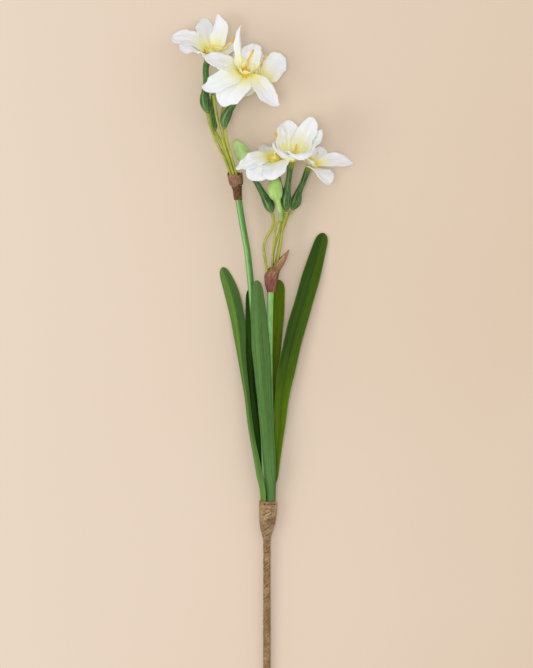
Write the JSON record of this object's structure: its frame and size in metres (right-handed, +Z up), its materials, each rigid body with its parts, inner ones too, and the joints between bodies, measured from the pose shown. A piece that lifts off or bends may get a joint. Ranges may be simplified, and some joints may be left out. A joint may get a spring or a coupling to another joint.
{
  "type": "artificial daffodil spray",
  "caption": "Artificial bunch-flowered daffodil spray, lying down: clusters of small white flowers and buds on green stems, strap leaves and a paper-wrapped handle.",
  "frame": {"origin": "centre of the spray's plan outline, on the surface that it lies on", "axes": "+X to the right of the spray, +Y along the handle towards the flowers, +Z up from the surface"},
  "size_m": [0.155, 0.6103, 0.063],
  "materials": {
    "petal": "white polyester cloth with fine pressed veins, pale yellow towards the throat",
    "corona": "yellow cloth, paler at the ragged rim",
    "pistil": "orange-yellow flocked plastic",
    "floral_tube": "dark green moulded plastic, soft sheen",
    "pedicel": "yellow-green coated wire, soft sheen",
    "bud": "pale green moulded plastic, soft sheen",
    "scape": "mid green moulded plastic, soft sheen",
    "leaf": "green moulded plastic strap leaf with pressed veins, soft sheen",
    "spathe": "thin crinkled brown paper, matte",
    "paper_tape": "brown floral paper tape wound in a spiral, matte",
    "core": "green coated stem wire",
    "staple_wire": "dull dark wire"
  },
  "bodies": {
    "root": {"handle_core": "core", "handle_wrap": "paper_tape", "wrap_collar": "paper_tape", "collar_staple": "staple_wire", "scape_tall": "scape", "scape_short": "scape", "spathe_tall": "spathe", "spathe_short": "spathe", "leaf_left": "leaf", "leaf_left_back": "leaf", "leaf_front": "leaf", "leaf_right_back": "leaf", "leaf_right": "leaf", "pedicel_upper_left": "pedicel", "pedicel_upper_front": "pedicel", "pedicel_upper_right": "pedicel", "pedicel_upper_bud": "pedicel", "pedicel_upper_small_bud": "pedicel", "pedicel_lower_left": "pedicel", "pedicel_lower_centre": "pedicel", "pedicel_lower_right": "pedicel", "pedicel_lower_bud": "pedicel", "pedicel_lower_small_bud": "pedicel", "upper_left_tube": "floral_tube", "upper_left_petals_outer": "petal", "upper_left_petals_inner": "petal", "upper_left_corona": "corona", "upper_left_pistil": "pistil", "upper_front_tube": "floral_tube", "upper_front_petals_outer": "petal", "upper_front_petals_inner": "petal", "upper_front_corona": "corona", "upper_front_pistil": "pistil", "upper_right_tube": "floral_tube", "upper_right_petals_outer": "petal", "upper_right_petals_inner": "petal", "upper_right_corona": "corona", "upper_right_pistil": "pistil", "lower_left_tube": "floral_tube", "lower_left_petals_outer": "petal", "lower_left_petals_inner": "petal", "lower_left_corona": "corona", "lower_left_pistil": "pistil", "lower_centre_tube": "floral_tube", "lower_centre_petals_outer": "petal", "lower_centre_petals_inner": "petal", "lower_centre_corona": "corona", "lower_centre_pistil": "pistil", "lower_right_tube": "floral_tube", "lower_right_petals_outer": "petal", "lower_right_petals_inner": "petal", "lower_right_corona": "corona", "lower_right_pistil": "pistil", "upper_bud_tube": "floral_tube", "lower_bud_tube": "floral_tube", "upper_bud_closed": "bud", "lower_bud_closed": "bud", "upper_bud_small": "bud", "lower_bud_small": "bud"}
  },
  "joints": []
}
